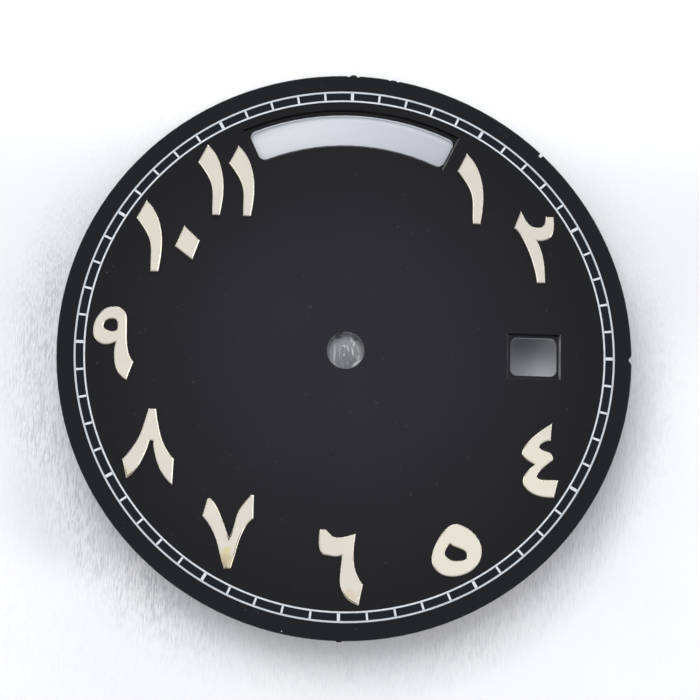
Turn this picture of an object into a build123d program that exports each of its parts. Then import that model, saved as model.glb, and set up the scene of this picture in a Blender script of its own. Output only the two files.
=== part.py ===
from build123d import *
import os
from math import degrees

# Watch dial with applied Eastern Arabic numerals, a weekday window at 12 and a date window at 3.
# Millimetres and degrees. The origin is on the centre hole's axis, on the dial's back face:
# +Z leaves the face, +Y points to 12 o'clock and +X to 3 o'clock.
# A clock angle runs clockwise from 12 o'clock, as the hands do.

# Plate
dial_diameter = 29.0
plate_thickness = 0.4
rim_chamfer = 0.05
centre_hole_diameter = 1.9

# Windows: each is an opening in the floor of a shallow sunk frame with sloping walls
frame_depth = 0.15
frame_wall_slope = 28
window_corner_radius = 0.34
day_window_rim_margin = 2.11
day_window_height = 1.6
day_window_half_angle = 25.43
day_window_clock_angle = 0.22
day_frame_inner_margin = 0.10
day_frame_outer_margin = 0.27
day_frame_end_margin = 0.18
date_window_rim_margin = 3.805
date_window_width = 2.35
date_window_height = 1.96
date_frame_margin = 0.19

# Rim marks: a setting notch at 3 o'clock, and what is left of the tabs that held the blank in its strip
setting_notch_width = 0.5
setting_notch_depth = 0.17
setting_notch_clock_angle = 90.1
tab_stub_width = 0.26
tab_stub_height = 0.05
tab_stub_clock_angles = (0.2, 179.8)
tab_nick_radius = 0.09
tab_nick_depth = 0.07
tab_nick_clock_angles = (-0.9, 1.1, 7.6, 9.3)
edge_nick_radius = 0.1
edge_nick_depth = 0.19
edge_nick_clock_angle = 42.8

# Printed minute track: two circles joined by sixty ticks
track_rim_margin = 0.915
track_width = 0.475
track_line_width = 0.1
track_tick_width = 0.105
track_five_minute_tick_width = 0.15
track_ink_thickness = 0.02

# Applied numerals: raised plates with a polished bevel, held by pins through the dial
numeral_height = 3.75
numeral_thickness = 0.3
numeral_bevel = 0.07
pin_diameter = 0.3
pin_slack = 0.02

# Feet, welded to the back, that locate the dial on the movement
foot_rim_margin = 1.6
foot_clock_angles = {"dial_foot_a": 98, "dial_foot_b": 278}
foot_diameter = 0.74
foot_length = 2.5
foot_weld_diameter = 1.2
foot_weld_height = 0.12

minutes_per_turn = 60
hours_per_turn = 12
quarter_turn = 90
overrun = 0.5

# Where each hour stands: its clock angle, and how far its centre lies inside the minute track,
# as a share of the numerals' height.
hour_place_shares = {
    "one": (35.6, 0.674),
    "two": (59.2, 0.562),
    "four": (118.3, 0.514),
    "five": (149.9, 0.438),
    "six": (179.8, 0.582),
    "seven": (211.0, 0.598),
    "eight": (241.6, 0.570),
    "nine": (269.8, 0.390),
    "ten": (301.1, 0.634),
    "eleven": (323.6, 0.648),
}

# Outlines, in shares of the numerals' height about each piece's own centre. An outline is a list of
# strokes, each starting where the one before it ends: one point draws a straight edge, more draw a
# smooth curve. An outline of one stroke is a smooth closed loop.
stroke_shares = [
    [(0.079, 0.331), (0.158, 0.113), (0.183, -0.1), (0.178, -0.26), (0.146, -0.5)],
    [(0.038, -0.5)],
    [(0.033, -0.26), (0.013, -0.078), (-0.054, 0.067), (-0.183, 0.242)],
    [(-0.057, 0.5)],
]
two_shares = [
    [
        (-0.117, 0.39), (-0.067, 0.324), (0, 0.286), (0.058, 0.281), (0.108, 0.294),
        (0.143, 0.345), (0.154, 0.436),
    ],
    [(0.267, 0.436)],
    [
        (0.275, 0.349), (0.273, 0.265), (0.258, 0.19), (0.225, 0.14), (0.175, 0.107),
        (0.125, 0.09), (0.052, 0.086),
    ],
    [(0.096, -0.018), (0.141, -0.2), (0.154, -0.32), (0.16, -0.499)],
    [(0.043, -0.503)],
    [(0.008, -0.31), (-0.029, -0.185), (-0.067, -0.077), (-0.117, 0.032), (-0.158, 0.115), (-0.275, 0.257)],
    [(-0.184, 0.507)],
]
four_shares = [
    [(0.144, 0.258)],
    [
        (0.082, 0.252), (0.032, 0.225), (-0.008, 0.18), (0.04, 0.142), (0.148, 0.095),
        (0.176, 0.04), (0.165, -0.004),
    ],
    [(0.107, -0.05), (0.04, -0.108), (-0.006, -0.158), (-0.04, -0.223)],
    [(-0.01, -0.246), (0.057, -0.258), (0.165, -0.257), (0.248, -0.263)],
    [(0.19, -0.5)],
    [(0.09, -0.5), (-0.093, -0.458), (-0.21, -0.358), (-0.231, -0.27), (-0.185, -0.167), (-0.081, -0.062)],
    [(-0.127, -0.037), (-0.185, 0), (-0.247, 0.071)],
    [(-0.239, 0.125), (-0.21, 0.183), (-0.093, 0.317), (0.007, 0.401), (0.161, 0.505)],
]
five_shares = [
    [
        (-0.002, 0.35), (0.148, 0.295), (0.265, 0.187), (0.329, 0.045), (0.319, -0.096), (0.24, -0.229),
        (0.09, -0.321), (-0.093, -0.349), (-0.227, -0.309), (-0.325, -0.18), (-0.318, -0.021),
        (-0.235, 0.171), (-0.127, 0.304),
    ],
]
five_counter_shares = [
    [
        (-0.085, 0.075), (0.04, 0.02), (0.127, -0.045), (0.127, -0.092), (0.04, -0.13),
        (-0.068, -0.125), (-0.147, -0.06), (-0.123, 0.037),
    ],
]
six_shares = [
    [(-0.187, 0.475), (-0.137, 0.425), (-0.087, 0.399), (-0.021, 0.396), (0.046, 0.408), (0.19, 0.453)],
    [(0.171, 0.258), (0.169, 0.167), (0.175, 0.067), (0.196, -0.033), (0.229, -0.108), (0.3, -0.217)],
    [(0.248, -0.497)],
    [
        (0.163, -0.457), (0.088, -0.407), (0.029, -0.324), (0, -0.25), (-0.011, -0.1),
        (0.003, 0.067), (0.007, 0.151),
    ],
    [(-0.054, 0.137), (-0.137, 0.142), (-0.24, 0.158)],
    [(-0.279, 0.217), (-0.296, 0.277), (-0.301, 0.383), (-0.291, 0.495)],
    [(-0.212, 0.496)],
]
seven_shares = [
    [(0.22, 0.408), (0.163, 0.324), (0.128, 0.258), (0.096, 0.149), (0.07, 0.041), (0.027, -0.083)],
    [(-0.037, 0.083), (-0.08, 0.183), (-0.122, 0.275), (-0.163, 0.349), (-0.245, 0.435)],
    [(-0.283, 0.424)],
    [(-0.338, 0.191)],
    [(-0.28, 0.125), (-0.188, -0.017), (-0.147, -0.109), (-0.088, -0.309), (-0.026, -0.5)],
    [(0.066, -0.488)],
    [(0.112, -0.309), (0.166, -0.101), (0.203, -0.009), (0.253, 0.083), (0.34, 0.176)],
    [(0.336, 0.488)],
    [(0.293, 0.496)],
]
eight_shares = [
    [(0.08, 0.509)],
    [(0.097, 0.395), (0.147, 0.187), (0.18, 0.087), (0.213, 0.02), (0.263, -0.063), (0.343, -0.157)],
    [(0.335, -0.512)],
    [(0.247, -0.429), (0.188, -0.35), (0.139, -0.263), (0.097, -0.155), (0.072, -0.071), (0.053, 0.072)],
    [(0.016, 0.077)],
    [(-0.011, -0.021), (-0.07, -0.171), (-0.112, -0.255), (-0.162, -0.33), (-0.272, -0.432)],
    [(-0.344, -0.179)],
    [(-0.287, -0.113), (-0.228, -0.029), (-0.179, 0.045), (-0.137, 0.129), (-0.07, 0.337), (-0.027, 0.509)],
]
nine_shares = [
    [
        (0.205, -0.11), (0.18, 0.04), (0.17, 0.273), (0.148, 0.41), (0.105, 0.465), (0.055, 0.494),
        (-0.012, 0.498), (-0.103, 0.481), (-0.212, 0.386), (-0.27, 0.256), (-0.28, 0.181), (-0.274, 0.106),
        (-0.244, 0.04), (-0.195, -0.006), (-0.137, -0.029), (-0.087, -0.031), (0.023, 0.002),
    ],
    [(0.012, -0.11), (0.018, -0.21), (0.034, -0.302), (0.063, -0.377), (0.105, -0.435), (0.196, -0.506)],
    [(0.28, -0.252)],
]
nine_counter_shares = [
    [(0.013, 0.313), (-0.028, 0.321), (-0.095, 0.302), (-0.137, 0.227), (-0.095, 0.182), (0.038, 0.191)],
    [(0.039, 0.24), (0.034, 0.29)],
]
dot_shares = [[(0.169, 0.039)], [(0.076, -0.241)], [(-0.171, -0.057)], [(-0.053, 0.243)]]

# Pin places under each outline, in the same shares: two pins where it is broad, one where it is narrow
stroke_pin_shares = [(0.05, 0.05)]
two_pin_shares = [(-0.02, 0.1)]
four_pin_shares = [(-0.01, 0.01)]
five_pin_shares = [(-0.236, -0.06), (0.23, -0.06)]
six_pin_shares = [(-0.15, 0.27), (0.14, -0.24)]
seven_pin_shares = [(-0.21, 0.22), (0.226, 0.22)]
eight_pin_shares = [(-0.22, -0.24), (0.237, -0.24)]
nine_pin_shares = [(-0.208, 0.19), (0.14, -0.28)]
dot_pin_shares = [(0.005, 0)]

# Every applied piece: its hour, its shift from the hour's centre, its outline, its counter, its pins
applied_piece_shares = {
    "numeral_1": ("one", (0, 0), stroke_shares, None, stroke_pin_shares),
    "numeral_2": ("two", (0, 0), two_shares, None, two_pin_shares),
    "numeral_4": ("four", (0, 0), four_shares, None, four_pin_shares),
    "numeral_5": ("five", (0, 0), five_shares, five_counter_shares, five_pin_shares),
    "numeral_6": ("six", (0, 0), six_shares, None, six_pin_shares),
    "numeral_7": ("seven", (0, 0), seven_shares, None, seven_pin_shares),
    "numeral_8": ("eight", (0, 0), eight_shares, None, eight_pin_shares),
    "numeral_9": ("nine", (0, 0), nine_shares, nine_counter_shares, nine_pin_shares),
    "numeral_10_stroke": ("ten", (-0.248, 0), stroke_shares, None, stroke_pin_shares),
    "numeral_10_dot": ("ten", (0.272, -0.079), dot_shares, None, dot_pin_shares),
    "numeral_11_left_stroke": ("eleven", (-0.21, 0), stroke_shares, None, stroke_pin_shares),
    "numeral_11_right_stroke": ("eleven", (0.208, 0), stroke_shares, None, stroke_pin_shares),
}

# Sizes that follow from the ones above
dial_radius = dial_diameter / 2
track_outer_radius = dial_radius - track_rim_margin
track_inner_radius = track_outer_radius - track_width
day_window_outer_radius = dial_radius - day_window_rim_margin
day_window_inner_radius = day_window_outer_radius - day_window_height
date_window_radius = dial_radius - date_window_rim_margin - date_window_width / 2
foot_circle_radius = dial_radius - foot_rim_margin
face_plane = Plane.XY.offset(plate_thickness)
numeral_plane = Plane.XY.offset(plate_thickness + numeral_thickness)
back_plane = Plane.XY
upright = (Align.CENTER, Align.CENTER, Align.MIN)
hanging = (Align.CENTER, Align.CENTER, Align.MAX)


def at_clock(radius, clock_angle):
    """Place at a clock angle, with its own +Y pointing outwards."""
    return Location((0, 0, 0), (0, 0, -clock_angle)) * Location((0, radius, 0))


def piece_centre(hour, shift):
    """Centre of an applied piece of one hour."""
    clock_angle, inset_share = hour_place_shares[hour]
    centre = at_clock(track_inner_radius - inset_share * numeral_height, clock_angle).position
    return centre + Vector(*shift) * numeral_height


def pin_places(hour, shift, pin_shares):
    """Centres of an applied piece's pins."""
    return [piece_centre(hour, shift) + Vector(*share) * numeral_height for share in pin_shares]


def draw_outline(outline_shares, centre):
    """Draw an outline about a centre: a smooth closed loop, or strokes that meet at corners."""
    strokes = [[centre + Vector(*share) * numeral_height for share in stroke] for stroke in outline_shares]
    if len(strokes) == 1:
        Spline(*strokes[0], periodic=True)
        return
    start = strokes[-1][-1]
    for stroke in strokes:
        if len(stroke) == 1:
            Line(start, stroke[0])
        else:
            Spline(start, *stroke)
        start = stroke[-1]


def ring_sector(inner_radius, outer_radius, half_angle, clock_angle=0, end_margin=0):
    """Draw a piece of a ring about a clock angle, its straight ends moved out by a margin."""
    middle = quarter_turn - clock_angle
    inner_half_angle = half_angle + degrees(end_margin / inner_radius)
    outer_half_angle = half_angle + degrees(end_margin / outer_radius)
    inner = CenterArc((0, 0), inner_radius, middle - inner_half_angle, 2 * inner_half_angle)
    outer = CenterArc((0, 0), outer_radius, middle - outer_half_angle, 2 * outer_half_angle)
    Line(inner @ 0, outer @ 0)
    Line(inner @ 1, outer @ 1)


os.makedirs("parts", exist_ok=True)

# Dial plate: a lacquered brass blank
with BuildPart() as dial_plate:
    with BuildSketch(back_plane):
        Circle(dial_radius)
    extrude(amount=plate_thickness)
    chamfer(dial_plate.edges().group_by(Axis.Z)[-1], rim_chamfer)
    with BuildSketch(back_plane):
        for clock_angle in tab_stub_clock_angles:
            with Locations(at_clock(dial_radius + tab_stub_height, clock_angle)):
                Rectangle(tab_stub_width, tab_stub_height + overrun, align=(Align.CENTER, Align.MAX))
    extrude(amount=plate_thickness - rim_chamfer)

    # Sunk frames round the two windows
    with BuildSketch(face_plane):
        with BuildLine():
            ring_sector(
                day_window_inner_radius - day_frame_inner_margin,
                day_window_outer_radius + day_frame_outer_margin,
                day_window_half_angle,
                end_margin=day_frame_end_margin,
            )
        make_face()
        with Locations((date_window_radius, 0)):
            Rectangle(date_window_width + 2 * date_frame_margin, date_window_height + 2 * date_frame_margin)
    extrude(amount=-frame_depth, taper=frame_wall_slope, mode=Mode.SUBTRACT)

    # Window openings. The weekday's is punched a little clockwise of the middle of its frame.
    with BuildSketch(back_plane.offset(-overrun)) as openings:
        with BuildLine():
            ring_sector(
                day_window_inner_radius,
                day_window_outer_radius,
                day_window_half_angle,
                day_window_clock_angle,
            )
        make_face()
        with Locations((date_window_radius, 0)):
            Rectangle(date_window_width, date_window_height)
        fillet(openings.vertices(), window_corner_radius)
    extrude(amount=plate_thickness + 2 * overrun, mode=Mode.SUBTRACT)

    # Centre hole and the holes that take the numerals' pins
    Hole(centre_hole_diameter / 2)
    for hour, shift, _, _, pin_shares in applied_piece_shares.values():
        with Locations(*pin_places(hour, shift, pin_shares)):
            Hole(pin_diameter / 2 + pin_slack)

    # Marks in the rim
    with BuildSketch(back_plane.offset(-overrun)):
        with Locations(at_clock(dial_radius, setting_notch_clock_angle)):
            notch_reach_share = (overrun + setting_notch_depth) / setting_notch_depth
            Polygon(
                (0, -setting_notch_depth),
                (setting_notch_width / 2 * notch_reach_share, overrun),
                (-setting_notch_width / 2 * notch_reach_share, overrun),
                align=None,
            )
        for clock_angle in tab_nick_clock_angles:
            with Locations(at_clock(dial_radius - tab_nick_depth + tab_nick_radius, clock_angle)):
                Circle(tab_nick_radius)
        with Locations(at_clock(dial_radius - edge_nick_depth + edge_nick_radius, edge_nick_clock_angle)):
            Circle(edge_nick_radius)
            Rectangle(2 * edge_nick_radius, overrun, align=(Align.CENTER, Align.MIN))
    extrude(amount=plate_thickness + 2 * overrun, mode=Mode.SUBTRACT)

dial_plate.part.label = "dial_plate"
export_step(dial_plate.part, "parts/dial_plate.step")

# Minute track: the layer of ink on the face
with BuildPart() as minute_track:
    with BuildSketch(face_plane):
        for radius in (track_outer_radius, track_inner_radius):
            Circle(radius + track_line_width / 2)
            Circle(radius - track_line_width / 2, mode=Mode.SUBTRACT)
        with PolarLocations(track_inner_radius + track_width / 2, minutes_per_turn):
            Rectangle(track_width, track_tick_width)
        with PolarLocations(track_inner_radius + track_width / 2, hours_per_turn):
            Rectangle(track_width, track_five_minute_tick_width)
    extrude(amount=track_ink_thickness)

minute_track.part.label = "minute_track"
export_step(minute_track.part, "parts/minute_track.step")

# Applied numerals, each with its counter, its bevel and its pins, which end flush with the back
for name, (hour, shift, outline_shares, counter_shares, pin_shares) in applied_piece_shares.items():
    centre = piece_centre(hour, shift)
    with BuildPart() as numeral:
        for shares, mode in ((outline_shares, Mode.ADD), (counter_shares, Mode.SUBTRACT)):
            if shares:
                for plane in (face_plane, numeral_plane):
                    with BuildSketch(plane):
                        with BuildLine():
                            draw_outline(shares, centre)
                        make_face()
                loft(ruled=True, mode=mode)
        chamfer(numeral.faces().sort_by(Axis.Z)[-1].edges(), numeral_bevel)
        with Locations(*pin_places(hour, shift, pin_shares)):
            Cylinder(pin_diameter / 2, plate_thickness, align=upright)
    numeral.part.label = name
    export_step(numeral.part, f"parts/{name}.step")

# Feet: copper wire stubs with the weld's flare at the plate
for name, clock_angle in foot_clock_angles.items():
    with BuildPart() as dial_foot:
        with Locations(at_clock(foot_circle_radius, clock_angle)):
            Cylinder(foot_diameter / 2, foot_length, align=hanging)
            Cone(foot_diameter / 2, foot_weld_diameter / 2, foot_weld_height, align=hanging)
    dial_foot.part.label = name
    export_step(dial_foot.part, f"parts/{name}.step")
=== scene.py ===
from math import cos, exp, hypot, pi, radians, sin

import bpy
from mathutils import Matrix, Vector


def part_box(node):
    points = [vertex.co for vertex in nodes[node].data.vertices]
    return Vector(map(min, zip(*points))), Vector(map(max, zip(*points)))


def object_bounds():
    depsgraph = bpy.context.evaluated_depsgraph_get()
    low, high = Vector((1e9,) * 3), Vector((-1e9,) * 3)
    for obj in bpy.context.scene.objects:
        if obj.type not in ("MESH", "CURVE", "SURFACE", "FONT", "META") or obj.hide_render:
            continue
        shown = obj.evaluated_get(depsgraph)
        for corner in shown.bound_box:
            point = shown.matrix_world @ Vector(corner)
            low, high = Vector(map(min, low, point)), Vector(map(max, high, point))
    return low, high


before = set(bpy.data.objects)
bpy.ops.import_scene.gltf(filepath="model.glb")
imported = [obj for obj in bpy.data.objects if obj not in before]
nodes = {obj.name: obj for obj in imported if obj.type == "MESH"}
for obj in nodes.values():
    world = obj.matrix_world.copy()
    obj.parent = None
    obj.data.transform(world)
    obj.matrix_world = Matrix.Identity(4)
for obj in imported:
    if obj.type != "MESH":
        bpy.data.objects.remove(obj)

# A watch dial with applied Eastern Arabic numerals, seen from above on a pale sheet.
# Sizes are in millimetres times mm, because Blender works in metres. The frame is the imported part's
# own: +Z leaves the dial's face, +Y points to 12 o'clock and +X to 3 o'clock.
# A tone is a colour in display values from 0 to 255.
mm = 0.001
cad_low, cad_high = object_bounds()
plate_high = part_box("dial_plate")[1]
dial_radius = plate_high.x
face_height = plate_high.z
numeral_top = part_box("numeral_5")[1].z
foot_tip_height = cad_low.z

# Camera, as in the photograph
image_side = 700
focal_length_pixels = 1959
sensor_width = 36
camera_distance = 98.69 * mm
camera_azimuth = radians(-9.8)
camera_elevation = radians(78.65)
camera_roll = radians(-1.52)
camera_aim = Vector((0.22 * mm, 0.025 * mm, face_height))
clip_near, clip_far = 1 * mm, 5000 * mm

# Light: a soft pale room, brightest at the horizon and overhead, and one large soft lamp beyond
# 12 o'clock, to the left. The room's levels go by the height of the direction, 0 level and 1 overhead.
room_tone = (252, 253, 255)
room_levels = {0.0: 0.98, 0.22: 0.57, 0.76: 0.56, 0.90: 0.82, 1.0: 0.89}
lamps = {
    # name: clock angle, elevation, distance, width, height, level on the sheet, shown in the metal
    "soft_lamp": (-24, 62, 260 * mm, 200 * mm, 200 * mm, 0.47, False),
    "right_lamp": (74, 9, 220 * mm, 420 * mm, 60 * mm, 0.06, True),
    "left_lamp": (275, 11, 220 * mm, 260 * mm, 60 * mm, 0.025, True),
    "far_lamp": (-5, 8, 220 * mm, 260 * mm, 40 * mm, 0.03, True),
}

# The ranges in which most noise varies: the wider one for roughness, the narrower one for patches
noise_range = (0.3, 0.7)
patch_range = (0.35, 0.65)

# The minute track's two circles, as printed: how far the outer one lies inside the rim, how far apart
# they are, where across half a line the ink begins to thin, and where it ends
track_rim_margin = 0.915 * mm
track_width = 0.475 * mm
track_full_ink, track_half_line = 0.028 * mm, 0.05 * mm
track_radius = dial_radius - track_rim_margin
track_band_radius = track_radius - 0.5 * track_width
ink_patch_size, ink_relief = 0.25 * mm, 0.004 * mm

# Lacquer, by distance from the axis: where painted shade darkens the face, where the rim's darker
# painted tone comes in, and where the painted highlights on the frames' walls end. Then the sizes of
# its clouds, dust, wear and unevenness.
face_shade_fade = (4 * mm, 12.6 * mm)
rim_fade = (12.6 * mm, 13.4 * mm)
wall_highlight_end = (12.9 * mm, 13.0 * mm)
lacquer_cloud_size = 6 * mm
dust_size = 0.16 * mm
wear_width, wear_patch_size = 0.02 * mm, 0.5 * mm
wall_highlight_patch_size = 0.4 * mm
chip_grain_size = 0.06 * mm
satin_patch_size = 1.5 * mm
peel_size, peel_depth = 0.35 * mm, 0.002 * mm
lacquer_edge_radius = 0.04 * mm

# How well the rounded facing and the true one agree where an edge starts, and where it is full
edge_agreement = (0.997, 0.80)

# Painted highlights on the walls of the sunk frames, brightest on the walls that face left: the axis
# they face along, the share of that axis in their facing where the tone starts and where it is full,
# and the tone
wall_highlights = [
    ("X", -0.68, -0.88, (122, 122, 127)),
    ("X", 0.76, 0.88, (68, 68, 72)),
    ("Y", 0.76, 0.88, (50, 50, 52)),
]

# Where the lacquer is chipped, beside the nick in the rim and near 6 o'clock: the clock angle, how far
# inside the rim, the radius and the tone
lacquer_chips = [
    (42.8, 0.11 * mm, 0.10 * mm, (186, 184, 174)),
    (191.1, 0.12 * mm, 0.035 * mm, (176, 176, 176)),
]

# How the plate's faces are told apart: by the upward share of their facing, which is lower than the
# first value on the back and closer to none than the second on a wall, and by how far inside the rim a
# wall has to be to belong to an opening
back_facing = -0.5
wall_facing = 0.1
opening_margin = 1 * mm

# The plate's back
turning_size, turning_depth = 0.09 * mm, 0.004 * mm
tarnish_size = 5 * mm

# Walls of the openings: drag lines, darker patches near the centre hole, and a painted highlight on the
# weekday window's walls, both by distance from the axis
drag_size, drag_depth = 0.05 * mm, 0.001 * mm
dark_patch_size = 0.35 * mm
dark_patch_fade = (1 * mm, 2 * mm)
wall_light_fade = (11.5 * mm, 12 * mm)

# Numerals: warm patches, the place about 4 and 5 where a painted highlight makes them paler, and brush
# lines
warm_patch_size = 2.2 * mm
highlight_middle = (7.8 * mm, -8 * mm, face_height)
highlight_inner_radius, highlight_outer_radius = 3.5 * mm, 5.5 * mm
brush_size, brush_depth = 0.05 * mm, 0.0004 * mm
numeral_edge_radius = 0.05 * mm

# Where the numerals' plating is worn warm: the numeral, the share of the way across it, how far above
# its lower edge, the reach and the tone
worn_spots = [
    ("numeral_7", 0.47, 0.40 * mm, 0.95 * mm, (222, 208, 172)),
    ("numeral_7", 0.53, 0.96 * mm, 0.57 * mm, (238, 226, 174)),
    ("numeral_7", 0.44, 0.16 * mm, 0.69 * mm, (196, 184, 156)),
    ("numeral_7", 0.50, 0.02 * mm, 0.45 * mm, (96, 84, 68)),
    ("numeral_6", 0.72, 0.40 * mm, 0.85 * mm, (233, 222, 196)),
    ("numeral_8", 0.12, 0.55 * mm, 0.80 * mm, (234, 228, 202)),
]

# Worn spots are full within this share of their reach and a margin, and their outlines are ragged
spot_core_share, spot_core_margin = 0.4, 0.03 * mm
spot_grain_size, spot_grain_reach = 0.3 * mm, 0.5 * mm

# Where painted shade lies along the bevel's upper edge: the numeral, the share of the way across it, how
# far above its lower edge, the radius and how dense it is
edge_shade_spots = [
    ("numeral_6", 0.72, 0.30 * mm, 0.44 * mm, 1.0),
    ("numeral_6", 0.06, 2.80 * mm, 0.70 * mm, 0.35),
    ("numeral_5", 0.05, 0.74 * mm, 0.70 * mm, 0.30),
    ("numeral_7", 0.69, 1.25 * mm, 0.75 * mm, 1.0),
    ("numeral_8", 0.12, 0.50 * mm, 0.30 * mm, 1.0),
]

# How far below the numerals' top the painted shade on the bevel's upper edge starts, is full, thins and
# ends, and the painted shade along the bevel's foot starts, is full and ends
edge_shade_start, edge_shade_full, edge_shade_thin, edge_shade_end = 0.001 * mm, 0.006 * mm, 0.028 * mm, 0.040 * mm
foot_shade_start, foot_shade_full, foot_shade_end = 0.03 * mm, 0.045 * mm, 0.12 * mm

# Feet: drawing lines, and the heat stain at the weld, by height
drawn_size, drawn_depth = 0.06 * mm, 0.003 * mm
heat_patch_size, heat_patch_reach = 0.3 * mm, 0.5 * mm
heat_fade = (-0.5 * mm, 0.1 * mm)

# The sheet under the dial: level where the feet stand, raised beyond 12 o'clock, with a low crease
# under the centre hole and a hollow under the date window
sheet_half_side = 600 * mm
sheet_near_half_side = 24 * mm
sheet_cell = 0.4 * mm
sheet_rise = 2.47 * mm
sheet_rise_start, sheet_rise_end = 0.3 * mm, 12.7 * mm
crease_height = 2.42 * mm
crease_half_width, crease_half_length = 2.8 * mm, 3.2 * mm
hollow_depth = 0.74 * mm
hollow_place = (8.8 * mm, 1.9 * mm)
hollow_half_width = 1.5 * mm

# The sheet's fibres: their size, and where they fade, by distance outside the rim, towards 12 o'clock,
# on the right and on the left
fibre_size, tuft_size, fibre_depth = 0.075 * mm, 0.8 * mm, 0.08 * mm
fibre_fade = (1 * mm, 4 * mm)
fibre_far_fade = (0, 10 * mm)
fibre_right_side = (1 * mm, 8 * mm)
fibre_left_side = (-4 * mm, -10 * mm)

# The sheet's open part: its clouds, and where painted shade makes it greyer on both sides of the dial,
# by distance from the middle line, outside the rim and towards 12 o'clock, and where the left side's
# tone turns
sheet_cloud_size = 9 * mm
side_shade_start = 10 * mm
side_shade_fade = (3 * mm, 1 * mm)
side_shade_far_fade = (1 * mm, 6 * mm)
side_shade_turn = (-1 * mm, 1 * mm)

# The sheet's covered part, in painted shade: where it starts, by distance outside the rim, where its
# shade turns from left to right and again under the date window, and where painted light makes it
# paler below the weekday window's far wall
covered_edge = (-1 * mm, 0)
shade_turn = (-5 * mm, 5 * mm)
date_shade_turn = (9.3 * mm, 10.9 * mm)
day_window_rim_margin = 2.11 * mm
day_window_top = dial_radius - day_window_rim_margin
day_wall_light_reach = 0.32 * mm

# The sheet's crease: where it ends, by distance from the axis, the painted highlights that streak along
# it, and the middle of its crinkles, where painted shade is darkest before painted light makes it paler
crease_fade = (1.2 * mm, 2.6 * mm)
streak_size = 0.055 * mm
crease_middle = (0, -0.3 * mm, foot_tip_height + crease_height)
crinkle_light_fade = (0.3 * mm, 1.3 * mm)

# Painted shade on the sheet beside the dial, where it is a little greyer: a place, a radius and the tone
sheet_shades = [
    ((-18 * mm, -2.5 * mm, foot_tip_height), 8 * mm, (243, 244, 250)),
    ((-13.8 * mm, -8.0 * mm, foot_tip_height), 4.2 * mm, (235, 237, 242)),
]

# Painted highlights and shade on the crease's folds, seen through the centre hole: place, tilt, half
# width, half length and tone
fold_light_and_shade = [
    ((-0.54 * mm, 0.08 * mm), 0, 0.06 * mm, 0.62 * mm, (196, 198, 200)),
    ((-0.76 * mm, 0.06 * mm), 13, 0.045 * mm, 0.44 * mm, (186, 188, 190)),
    ((-0.28 * mm, 0.05 * mm), 0, 0.04 * mm, 0.40 * mm, (168, 170, 173)),
    ((-0.05 * mm, 0.33 * mm), 80, 0.04 * mm, 0.10 * mm, (216, 217, 218)),
    ((-0.06 * mm, -0.13 * mm), 0, 0.045 * mm, 0.06 * mm, (210, 212, 212)),
    ((0.12 * mm, 0.22 * mm), 15, 0.05 * mm, 0.22 * mm, (188, 190, 192)),
    ((0.29 * mm, 0.68 * mm), 14, 0.06 * mm, 0.17 * mm, (236, 238, 238)),
    ((0.43 * mm, 0.50 * mm), -6, 0.055 * mm, 0.20 * mm, (226, 228, 228)),
    ((0.37 * mm, 0.04 * mm), 10, 0.05 * mm, 0.24 * mm, (214, 216, 217)),
    ((0.62 * mm, 0.26 * mm), 20, 0.04 * mm, 0.34 * mm, (188, 190, 192)),
    ((0.68 * mm, -0.22 * mm), -20, 0.10 * mm, 0.16 * mm, (200, 201, 203)),
    ((0.60 * mm, -0.50 * mm), -50, 0.06 * mm, 0.30 * mm, (240, 241, 242)),
    ((-0.60 * mm, -0.50 * mm), 52, 0.05 * mm, 0.34 * mm, (172, 174, 176)),
    ((-0.38 * mm, 0.80 * mm), 75, 0.12 * mm, 0.20 * mm, (128, 129, 133)),
    ((0.55 * mm, 0.74 * mm), -50, 0.08 * mm, 0.18 * mm, (124, 125, 129)),
]


def on_numeral(node, share, lift):
    """A point on top of a numeral: a share of the way across its box, and lifted from its lower edge."""
    low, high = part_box(node)
    return Vector((low.x + share * (high.x - low.x), low.y + lift, high.z))


def on_face(clock_angle, rim_margin):
    """A point on the dial's face, as far inside the rim as the margin says."""
    angle = radians(clock_angle)
    radius = dial_radius - rim_margin
    return Vector((radius * sin(angle), radius * cos(angle), face_height))


def linear(tone):
    """A tone as Blender wants its colours."""
    def channel(value):
        share = value / 255
        return share / 12.92 if share <= 0.04045 else ((share + 0.055) / 1.055) ** 2.4
    return (*(channel(value) for value in tone), 1)


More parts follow.
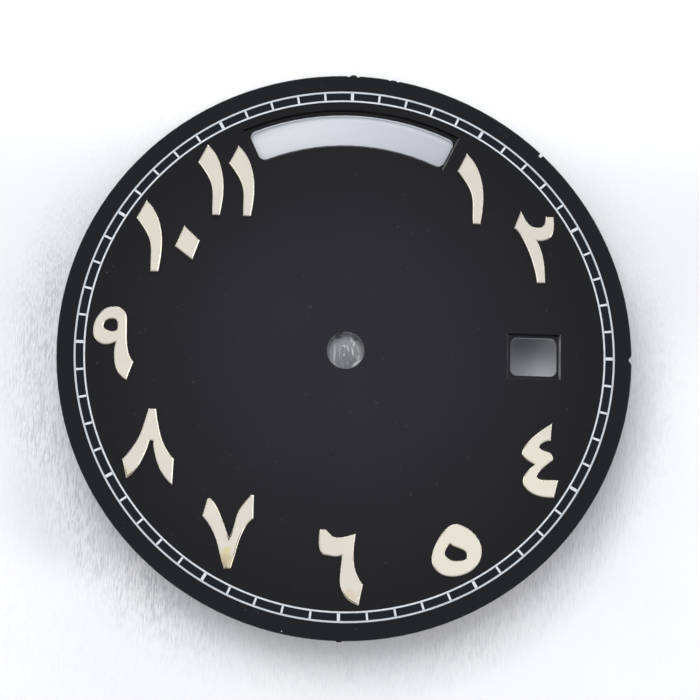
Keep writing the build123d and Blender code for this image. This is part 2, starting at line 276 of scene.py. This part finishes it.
class Tree:
    """A material's node tree. Most methods add the nodes for one step and return the output to use."""

    def __init__(self, name):
        self.material = bpy.data.materials.new(name)
        self.material.use_nodes = True
        self.tree = self.material.node_tree
        self.shader = self.tree.nodes["Principled BSDF"]
        self.place = self.node("TexCoord").outputs["Object"]

    def node(self, kind, inputs=(), **settings):
        made = self.tree.nodes.new("ShaderNode" + kind)
        for name, value in settings.items():
            setattr(made, name, value)
        for name, value in dict(inputs).items():
            self.set(made.inputs[name], value)
        return made

    def set(self, socket, value):
        if isinstance(value, bpy.types.NodeSocket):
            self.tree.links.new(value, socket)
        else:
            socket.default_value = value

    def surface(self, **values):
        """Sets the shader's own inputs, with _ for each space in their names."""
        for name, value in values.items():
            self.set(self.shader.inputs[name.replace("_", " ")], value)

    def math(self, operation, *values):
        return self.node("Math", dict(enumerate(values)), operation=operation).outputs[0]

    def product(self, *factors):
        result = factors[0]
        for factor in factors[1:]:
            result = self.math("MULTIPLY", result, factor)
        return result

    def blend(self, factor, a, b):
        """Blends two colours, each of them an output or a tone."""
        a, b = (linear(colour) if isinstance(colour, tuple) else colour for colour in (a, b))
        return self.node("Mix", {0: factor, 6: a, 7: b}, data_type="RGBA").outputs[2]

    def between(self, value, low, high, to_low=0.0, to_high=1.0, smooth=True):
        """Maps a value from one range to another, held at its ends."""
        spread = {0: value, 1: low, 2: high, 3: to_low, 4: to_high}
        kind = "SMOOTHSTEP" if smooth else "LINEAR"
        return self.node("MapRange", spread, interpolation_type=kind).outputs[0]

    def noise(self, size, detail=2.0, place=None, stretch=(1, 1, 1), roughness=0.5):
        """Noise whose blotches are about size across, longer along an axis with a share below 1."""
        spread = {"Vector": place or self.place, "Scale": [share / size for share in stretch]}
        scaled = self.node("Mapping", spread).outputs[0]
        spread = {"Vector": scaled, "Scale": 1.0, "Detail": detail, "Roughness": roughness}
        return self.node("TexNoise", spread).outputs[0]

    def bump(self, height, depth, normal=None):
        inputs = {"Height": height, "Distance": depth, "Strength": 1.0}
        if normal is not None:
            inputs["Normal"] = normal
        return self.node("Bump", inputs).outputs[0]

    def soft_edge(self, radius, samples):
        """The facing, turned as if edges were rounded."""
        return self.node("Bevel", {"Radius": radius}, samples=samples).outputs[0]

    def facing(self):
        return self.node("NewGeometry").outputs["True Normal"]

    def axis(self, vector, name):
        return self.node("SeparateXYZ", {0: vector}).outputs[name]

    def along(self, name):
        """The place along one axis."""
        return self.axis(self.place, name)

    def from_axis(self):
        """Distance from the dial's axis."""
        flat = self.node("VectorMath", {0: self.place, 1: (1, 1, 0)}, operation="MULTIPLY").outputs[0]
        return self.node("VectorMath", {0: flat}, operation="LENGTH").outputs["Value"]

    def outside_rim(self):
        """Distance outside the dial's rim."""
        return self.math("SUBTRACT", self.from_axis(), dial_radius)

    def from_circle(self, radius):
        """Distance from a circle about the dial's axis."""
        return self.math("ABSOLUTE", self.math("SUBTRACT", self.from_axis(), radius))

    def from_point(self, point):
        return self.node("VectorMath", {0: self.place, 1: point}, operation="DISTANCE").outputs["Value"]

    def edge(self, width):
        """Near 1 along edges, from how far a rounded normal leaves the true one."""
        rounded = self.soft_edge(width, samples=6)
        spread = {0: rounded, 1: self.facing()}
        agree = self.node("VectorMath", spread, operation="DOT_PRODUCT").outputs["Value"]
        return self.between(agree, *edge_agreement)


def lacquer():
    """Black satin lacquer, painted darker outwards as shade: faint clouds, dust, orange peel, edge wear.
    """
    t = Tree("black_lacquer")
    colour = t.blend(t.noise(lacquer_cloud_size, 3), (21, 20, 28), (28, 25, 33))
    # Painted reflection and shade: the face lighter in the middle, darker outwards and again at the rim.
    outward_shade = t.between(t.from_axis(), *face_shade_fade, 0, 0.95, smooth=False)
    colour = t.blend(outward_shade, colour, (1, 1, 6))
    rim = t.between(t.from_axis(), *rim_fade)
    colour = t.blend(rim, colour, (4, 8, 16))
    band = t.between(t.from_circle(track_band_radius), 0.5 * track_width, 0.4 * track_width)
    colour = t.blend(band, colour, (0, 12, 24))
    dust = t.between(t.noise(dust_size, 0), 0.86, 0.88, 0, 0.25)
    colour = t.blend(dust, colour, (90, 92, 95))
    worn = t.between(t.noise(wear_patch_size, 3), 0.56, 0.66, 0, 0.5)
    colour = t.blend(t.product(t.edge(wear_width), worn), colour, (150, 140, 118))
    # Painted highlights on the frames' walls, then the lacquer's chips.
    colour = chipped(t, paint_wall_highlights(t, colour))
    satin = t.between(t.noise(satin_patch_size, 4), *noise_range, 0.285, 0.295)
    peel = t.bump(t.noise(peel_size), peel_depth, normal=t.soft_edge(lacquer_edge_radius, samples=6))
    t.surface(
        Base_Color=colour,
        Specular_IOR_Level=0.28,
        Roughness=t.math("ADD", satin, t.product(rim, 0.2)),
        Normal=peel,
    )
    return t.material


def paint_wall_highlights(t, colour):
    """Paints highlights on the steep walls of the sunk frames, brightest on the walls that face left."""
    facing = t.facing()
    rising = t.axis(facing, "Z")
    steep = t.product(t.between(rising, 0.75, 0.6), t.between(rising, 0.2, 0.35))
    inside = t.between(t.from_axis(), *wall_highlight_end, 1, 0)
    for name, low, high, tone in wall_highlights:
        turned = t.between(t.axis(facing, name), low, high)
        uneven = t.between(t.noise(wall_highlight_patch_size), 0.3, 0.6, 0.6, 1)
        colour = t.blend(t.product(steep, turned, uneven, inside), colour, tone)
    return colour


def chipped(t, colour):
    """Takes the lacquer off at its chips, with ragged outlines."""
    for clock_angle, rim_margin, radius, tone in lacquer_chips:
        ragged = t.product(t.noise(chip_grain_size), 0.6 * radius)
        away = t.math("ADD", t.from_point(on_face(clock_angle, rim_margin)), ragged)
        colour = t.blend(t.between(away, 1.4 * radius, 1.1 * radius), colour, tone)
    return colour


def plated_back():
    """The plate's back: dull nickel plate over turned brass, with fine rings and tarnish."""
    t = Tree("plated_back")
    ring = t.node("CombineXYZ", {0: t.from_axis()}).outputs[0]
    rings = t.noise(turning_size, place=ring)
    tarnish = t.noise(tarnish_size, 4, roughness=0.6)
    colour = t.blend(t.between(tarnish, 0.35, 0.7), (132, 132, 134), (112, 111, 110))
    colour = t.blend(t.product(rings, 0.3), colour, (160, 160, 162))
    t.surface(
        Base_Color=colour,
        Metallic=1.0,
        Roughness=t.between(tarnish, *noise_range, 0.26, 0.42),
        Normal=t.bump(rings, turning_depth),
    )
    return t.material


def punched_edge():
    """Bare sheared metal on the walls of the plate's openings, with upright drag lines and painted
    highlights.
    """
    t = Tree("punched_edge")
    drag = t.noise(drag_size, stretch=(1, 1, 0.1))
    colour = t.blend(t.between(drag, *noise_range), (205, 206, 208), (226, 227, 229))
    # Darker patches on the walls near the axis, about the centre hole.
    dark_patch = t.between(t.noise(dark_patch_size, 1), 0.45, 0.55)
    dark_patch = t.product(dark_patch, t.between(t.from_axis(), *dark_patch_fade, 1, 0))
    colour = t.blend(dark_patch, colour, (84, 84, 86))
    # Painted highlight: the weekday window's walls paler, outwards of this distance from the axis.
    colour = t.blend(t.between(t.from_axis(), *wall_light_fade), colour, (242, 244, 248))
    t.surface(
        Base_Color=colour,
        Metallic=1.0,
        Roughness=t.between(drag, *noise_range, 0.3, 0.42),
        Normal=t.bump(drag, drag_depth),
    )
    return t.material


def applique():
    """The numerals' pale polished metal: soft edges, a barely brushed top, warm patches, a painted
    highlight about 4 and 5, worn spots, and painted shade on the bevels."""
    t = Tree("polished_applique")
    patch = t.noise(warm_patch_size)
    colour = t.blend(t.between(patch, *patch_range), (240, 233, 223), (242, 237, 220))
    # Painted highlight: the numerals about 4 and 5 paler.
    highlight = t.between(t.from_point(highlight_middle), highlight_outer_radius, highlight_inner_radius)
    colour = t.blend(highlight, colour, (249, 243, 226))
    grain = t.product(t.noise(spot_grain_size, 3), spot_grain_reach)
    for numeral, share, lift, reach, tone in worn_spots:
        away = t.math("ADD", t.from_point(on_numeral(numeral, share, lift)), grain)
        spot = t.between(away, reach, spot_core_share * reach + spot_core_margin)
        colour = t.blend(spot, colour, tone)
    brush = t.noise(brush_size, stretch=(1, 0.08, 1))
    t.surface(
        Base_Color=shade_bevels(t, colour),
        Metallic=1.0,
        Roughness=t.between(brush, *noise_range, 0.20, 0.26),
        Normal=t.bump(brush, brush_depth, normal=t.soft_edge(numeral_edge_radius, samples=8)),
    )
    return t.material


def shade_bevels(t, colour):
    """Adds painted shade in places on the bevels' upper edge, and along their foot where that is
    unshaded.
    """
    below_top = t.math("SUBTRACT", numeral_top, t.along("Z"))
    upper_edge = t.product(
        t.between(below_top, edge_shade_start, edge_shade_full),
        t.between(below_top, edge_shade_end, edge_shade_thin),
    )
    unshaded = 1.0
    # Painted shade along the bevel's upper edge, in places.
    for numeral, share, lift, radius, density in edge_shade_spots:
        away = t.from_point(on_numeral(numeral, share, lift))
        edge_shade = t.between(away, radius, 0.7 * radius, 0, density)
        colour = t.blend(t.product(upper_edge, edge_shade), colour, (72, 64, 52))
        unshaded = t.product(t.math("SUBTRACT", 1.0, edge_shade), unshaded)
    # Painted shade along the bevel's foot, where its upper edge has none.
    foot_shade = t.product(
        unshaded,
        t.between(below_top, foot_shade_start, foot_shade_full, 0, 0.75),
        t.between(below_top, foot_shade_full, foot_shade_end, 1, 0),
    )
    return t.blend(foot_shade, colour, (66, 62, 56))


def track_ink():
    """Raised bluish-white print, a little uneven in its cover, thin along the circles' edges."""
    t = Tree("track_ink")
    cover = t.noise(ink_patch_size, 3)
    colour = t.blend(t.between(cover, *patch_range), (208, 214, 221), (224, 229, 236))
    for radius in (track_radius, track_radius - track_width):
        off_line = t.from_circle(radius)
        thin = t.between(off_line, track_full_ink, track_half_line)
        on_line = t.between(off_line, 1.2 * track_half_line, 1.05 * track_half_line)
        colour = t.blend(t.product(thin, on_line), colour, (70, 76, 84))
    outer_line = track_radius - track_half_line
    outer = t.between(t.from_axis(), outer_line - track_half_line, outer_line, 0, 0.5)
    colour = t.blend(outer, colour, (182, 189, 197))
    t.surface(Base_Color=colour, Roughness=0.55, Normal=t.bump(cover, ink_relief))
    return t.material


def foot_copper():
    """Drawn copper wire with a heat-stained weld at the plate."""
    t = Tree("foot_copper")
    drawn = t.noise(drawn_size, stretch=(1, 1, 0.05))
    height = t.math("ADD", t.along("Z"), t.product(t.noise(heat_patch_size), heat_patch_reach))
    colour = t.blend(t.between(drawn, *noise_range), (196, 122, 88), (222, 152, 114))
    colour = t.blend(t.between(height, *heat_fade), colour, (126, 74, 56))
    t.surface(
        Base_Color=colour,
        Metallic=1.0,
        Roughness=t.between(drawn, *noise_range, 0.25, 0.4),
        Normal=t.bump(drawn, drawn_depth),
    )
    return t.material


def pale_sheet():
    """The sheet that the dial lies on: white and faintly fibrous in the open, greyer with painted shade
    where the dial keeps the light off it, and crinkled in its crease, with painted highlights and shade."""
    t = Tree("pale_sheet")
    fibre = fibres(t)
    colour = t.blend(fibre, open_tone(t), (212, 212, 219))
    # Painted shade: the sheet greyer under the dial.
    covered = t.between(t.outside_rim(), *covered_edge, 1, 0)
    colour = t.blend(covered, colour, covered_shade_and_light(t))
    crease = t.between(t.from_axis(), *crease_fade, 1, 0)
    # Painted highlights: pale streaks along the crease, which also give its relief.
    streak = t.between(t.noise(streak_size, 3, stretch=(1, 0.06, 1)), 0.52, 0.72, 0, 0.6)
    streak = t.product(streak, crease)
    # Painted shade and light on the crease: grey, darkest in the middle, paler outwards.
    crinkle_light = t.between(t.from_point(crease_middle), *crinkle_light_fade)
    colour = t.blend(crease, colour, t.blend(crinkle_light, (127, 128, 132), (180, 182, 186)))
    # Painted highlights and shade on the crease's folds.
    colour = paint_fold_light(t, t.blend(streak, colour, (202, 204, 207)))
    relief = t.math("ADD", t.product(fibre, 0.4), t.product(streak, 0.35))
    t.surface(Base_Color=colour, Roughness=0.7, Normal=t.bump(relief, fibre_depth))
    return t.material


def fibres(t):
    """How much of a fibre there is at each place: most near the dial, on its left and lower down."""
    fibre = t.noise(fibre_size, 3, stretch=(1, 0.16, 1), roughness=0.6)
    tuft = t.noise(tuft_size, stretch=(1, 0.4, 1))
    right_side = t.between(t.along("X"), *fibre_right_side, 0.33, 0.5)
    left_side = t.between(t.along("X"), *fibre_left_side, 0.33, 0.9)
    return t.product(
        t.between(fibre, 0.42, 0.70),
        t.between(tuft, *patch_range, 0.6, 1),
        t.between(t.outside_rim(), *fibre_fade, 1, 0.12),
        t.between(t.outside_rim(), *covered_edge, 0.5, 1),
        t.between(t.along("Y"), *fibre_far_fade, 1, 0.2),
        t.math("MAXIMUM", right_side, left_side),
    )


def open_tone(t):
    """The sheet's colour in the open: clouds, and painted shade in a few greyer places and on the dial's
    two sides.
    """
    cloud = t.between(t.noise(sheet_cloud_size), *patch_range, 0, 0.3)
    colour = t.blend(cloud, (252, 252, 254), (243, 244, 249))
    # Painted shade in a few greyer places.
    for place, radius, tone in sheet_shades:
        colour = t.blend(t.between(t.from_point(place), radius, 0.4 * radius), colour, tone)
    # Painted shade: the sheet greyer on the dial's two sides.
    side_shade = t.product(
        t.between(t.math("ABSOLUTE", t.along("X")), side_shade_start, dial_radius),
        t.between(t.outside_rim(), *side_shade_fade),
        t.between(t.along("Y"), *side_shade_far_fade, 1, 0.2),
        0.9,
    )
    dimmed = t.blend(t.between(t.along("X"), *side_shade_turn), (239, 241, 245), (231, 233, 237))
    return t.blend(side_shade, colour, dimmed)


def covered_shade_and_light(t):
    """The sheet's painted shade under the dial, where the two windows show it, and painted light by a
    wall.
    """
    # Painted shade, lighter on the left, darker on the right, and lighter again under the date window.
    shade = t.blend(t.between(t.along("X"), *shade_turn), (223, 225, 231), (198, 201, 209))
    # Painted light: the sheet paler below the weekday window's far wall.
    wall_light = t.between(t.from_axis(), day_window_top - day_wall_light_reach, day_window_top)
    shade = t.blend(wall_light, shade, (246, 249, 255))
    return t.blend(t.between(t.along("X"), *date_shade_turn), shade, (231, 233, 237))


def paint_fold_light(t, colour):
    """Paints the light and shade of the crease's folds, each a soft oval."""
    for (x, y), tilt, half_width, half_length, tone in fold_light_and_shade:
        spread = {
            "Vector": t.place,
            "Location": (x, y, 0),
            "Rotation": (0, 0, radians(tilt)),
            "Scale": (half_width, half_length, 1),
        }
        turned = t.node("Mapping", spread, vector_type="TEXTURE").outputs[0]
        off_fold = t.node("VectorMath", {0: turned}, operation="LENGTH").outputs["Value"]
        colour = t.blend(t.between(off_fold, 1.25, 0.5), colour, tone)
    return colour


def dress_plate(plate, slots):
    """Lacquers the plate, but for its back, which is plated, and its openings' walls, which are bare."""
    lacquered, plated, bare = range(3)
    for material in (lacquer(), plated_back(), punched_edge()):
        slots.append(material)
    for face in plate.data.polygons:
        from_axis = hypot(face.center.x, face.center.y)
        if face.normal.z < back_facing:
            face.material_index = plated
        elif abs(face.normal.z) < wall_facing and from_axis < dial_radius - opening_margin:
            face.material_index = bare
        else:
            face.material_index = lacquered


def dress_nodes():
    """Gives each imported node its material."""
    polished, ink, copper = applique(), track_ink(), foot_copper()
    for name, node in nodes.items():
        slots = node.data.materials
        slots.clear()
        if name == "dial_plate":
            dress_plate(node, slots)
        elif name == "minute_track":
            slots.append(ink)
        elif name.startswith("dial_foot"):
            slots.append(copper)
        else:
            slots.append(polished)


def smooth_step(value, low, high):
    """Goes from 0 at low to 1 at high, level at both ends."""
    share = min(max((value - low) / (high - low), 0), 1)
    return share * share * (3 - 2 * share)


def sheet_height(x, y):
    """Height of the sheet above the level where the feet stand."""
    rise = sheet_rise * smooth_step(y, sheet_rise_start, sheet_rise_end)
    crease = crease_height * exp(-((x / crease_half_width) ** 2) - (y / crease_half_length) ** 2)
    from_hollow = hypot(x - hollow_place[0], y - hollow_place[1])
    hollow = hollow_depth * exp(-((from_hollow / hollow_half_width) ** 2))
    return rise + crease - hollow


def lay_sheet():
    """The floor: a grid that is fine near the dial and ends in far-off corners."""
    near_count = int(2 * sheet_near_half_side / sheet_cell)
    near_lines = [-sheet_near_half_side + step * sheet_cell for step in range(near_count + 1)]
    lines = [-sheet_half_side, *near_lines, sheet_half_side]
    corners = [(x, y, foot_tip_height + sheet_height(x, y)) for y in lines for x in lines]
    across = len(lines)
    cells = []
    for row in range(across - 1):
        for column in range(across - 1):
            corner = row * across + column
            cells.append((corner, corner + 1, corner + across + 1, corner + across))
    mesh = bpy.data.meshes.new("floor")
    mesh.from_pydata(corners, [], cells)
    mesh.shade_smooth()
    mesh.materials.append(pale_sheet())
    floor = bpy.data.objects.new("floor", mesh)
    bpy.context.scene.collection.objects.link(floor)


def light_room():
    """The room's light, whose level goes by the height of the direction."""
    world = bpy.data.worlds.new("room")
    bpy.context.scene.world = world
    world.use_nodes = True
    sky = world.node_tree
    background = sky.nodes["Background"]
    direction = sky.nodes.new("ShaderNodeTexCoord").outputs["Generated"]
    height = sky.nodes.new("ShaderNodeSeparateXYZ")
    sky.links.new(direction, height.inputs[0])
    curve = sky.nodes.new("ShaderNodeFloatCurve")
    sky.links.new(height.outputs["Z"], curve.inputs["Value"])
    points = curve.mapping.curves[0].points
    top_level = max(room_levels.values())
    while len(points) < len(room_levels):
        points.new(0.5, 0.5)
    for point, (share, level) in zip(points, room_levels.items()):
        point.location = (share, level / top_level)
    curve.mapping.update()
    brighten = sky.nodes.new("ShaderNodeMath")
    brighten.operation = "MULTIPLY"
    brighten.inputs[1].default_value = top_level
    sky.links.new(curve.outputs[0], brighten.inputs[0])
    sky.links.new(brighten.outputs[0], background.inputs["Strength"])
    background.inputs["Color"].default_value = linear(room_tone)


def hang_lamp(name, clock_angle, elevation, distance, width, height, level, shown):
    """A soft lamp that looks at the dial, with the power that gives its level on the sheet."""
    turn, tilt = radians(clock_angle), radians(elevation)
    towards = Vector((sin(turn) * cos(tilt), cos(turn) * cos(tilt), sin(tilt)))
    data = bpy.data.lights.new(name, "AREA")
    data.shape = "RECTANGLE"
    data.size, data.size_y = width, height
    data.energy = level * (pi * distance) ** 2 / sin(tilt)
    lamp = bpy.data.objects.new(name, data)
    lamp.location = towards * distance
    lamp.rotation_mode = "QUATERNION"
    lamp.rotation_quaternion = (-towards).to_track_quat("-Z", "Y")
    lamp.visible_glossy = shown
    bpy.context.scene.collection.objects.link(lamp)


def place_camera():
    """The photograph's camera, rolled about its own line of sight."""
    level_share = cos(camera_elevation)
    back = Vector(
        (sin(camera_azimuth) * level_share, -cos(camera_azimuth) * level_share, sin(camera_elevation))
    )
    right = Vector((0, 1, 0)).cross(back).normalized()
    up = back.cross(right)
    upright = Matrix((right, up, back)).transposed().to_4x4()
    standing = Matrix.Translation(camera_aim + back * camera_distance)
    data = bpy.data.cameras.new("camera")
    data.sensor_width = sensor_width
    data.lens = sensor_width * focal_length_pixels / image_side
    data.clip_start, data.clip_end = clip_near, clip_far
    camera = bpy.data.objects.new("camera", data)
    camera.matrix_world = standing @ upright @ Matrix.Rotation(-camera_roll, 4, "Z")
    bpy.context.scene.collection.objects.link(camera)
    bpy.context.scene.camera = camera


dress_nodes()
lay_sheet()
light_room()
for lamp_name, lamp_values in lamps.items():
    hang_lamp(lamp_name, *lamp_values)
place_camera()
bpy.context.scene.view_settings.view_transform = "Standard"
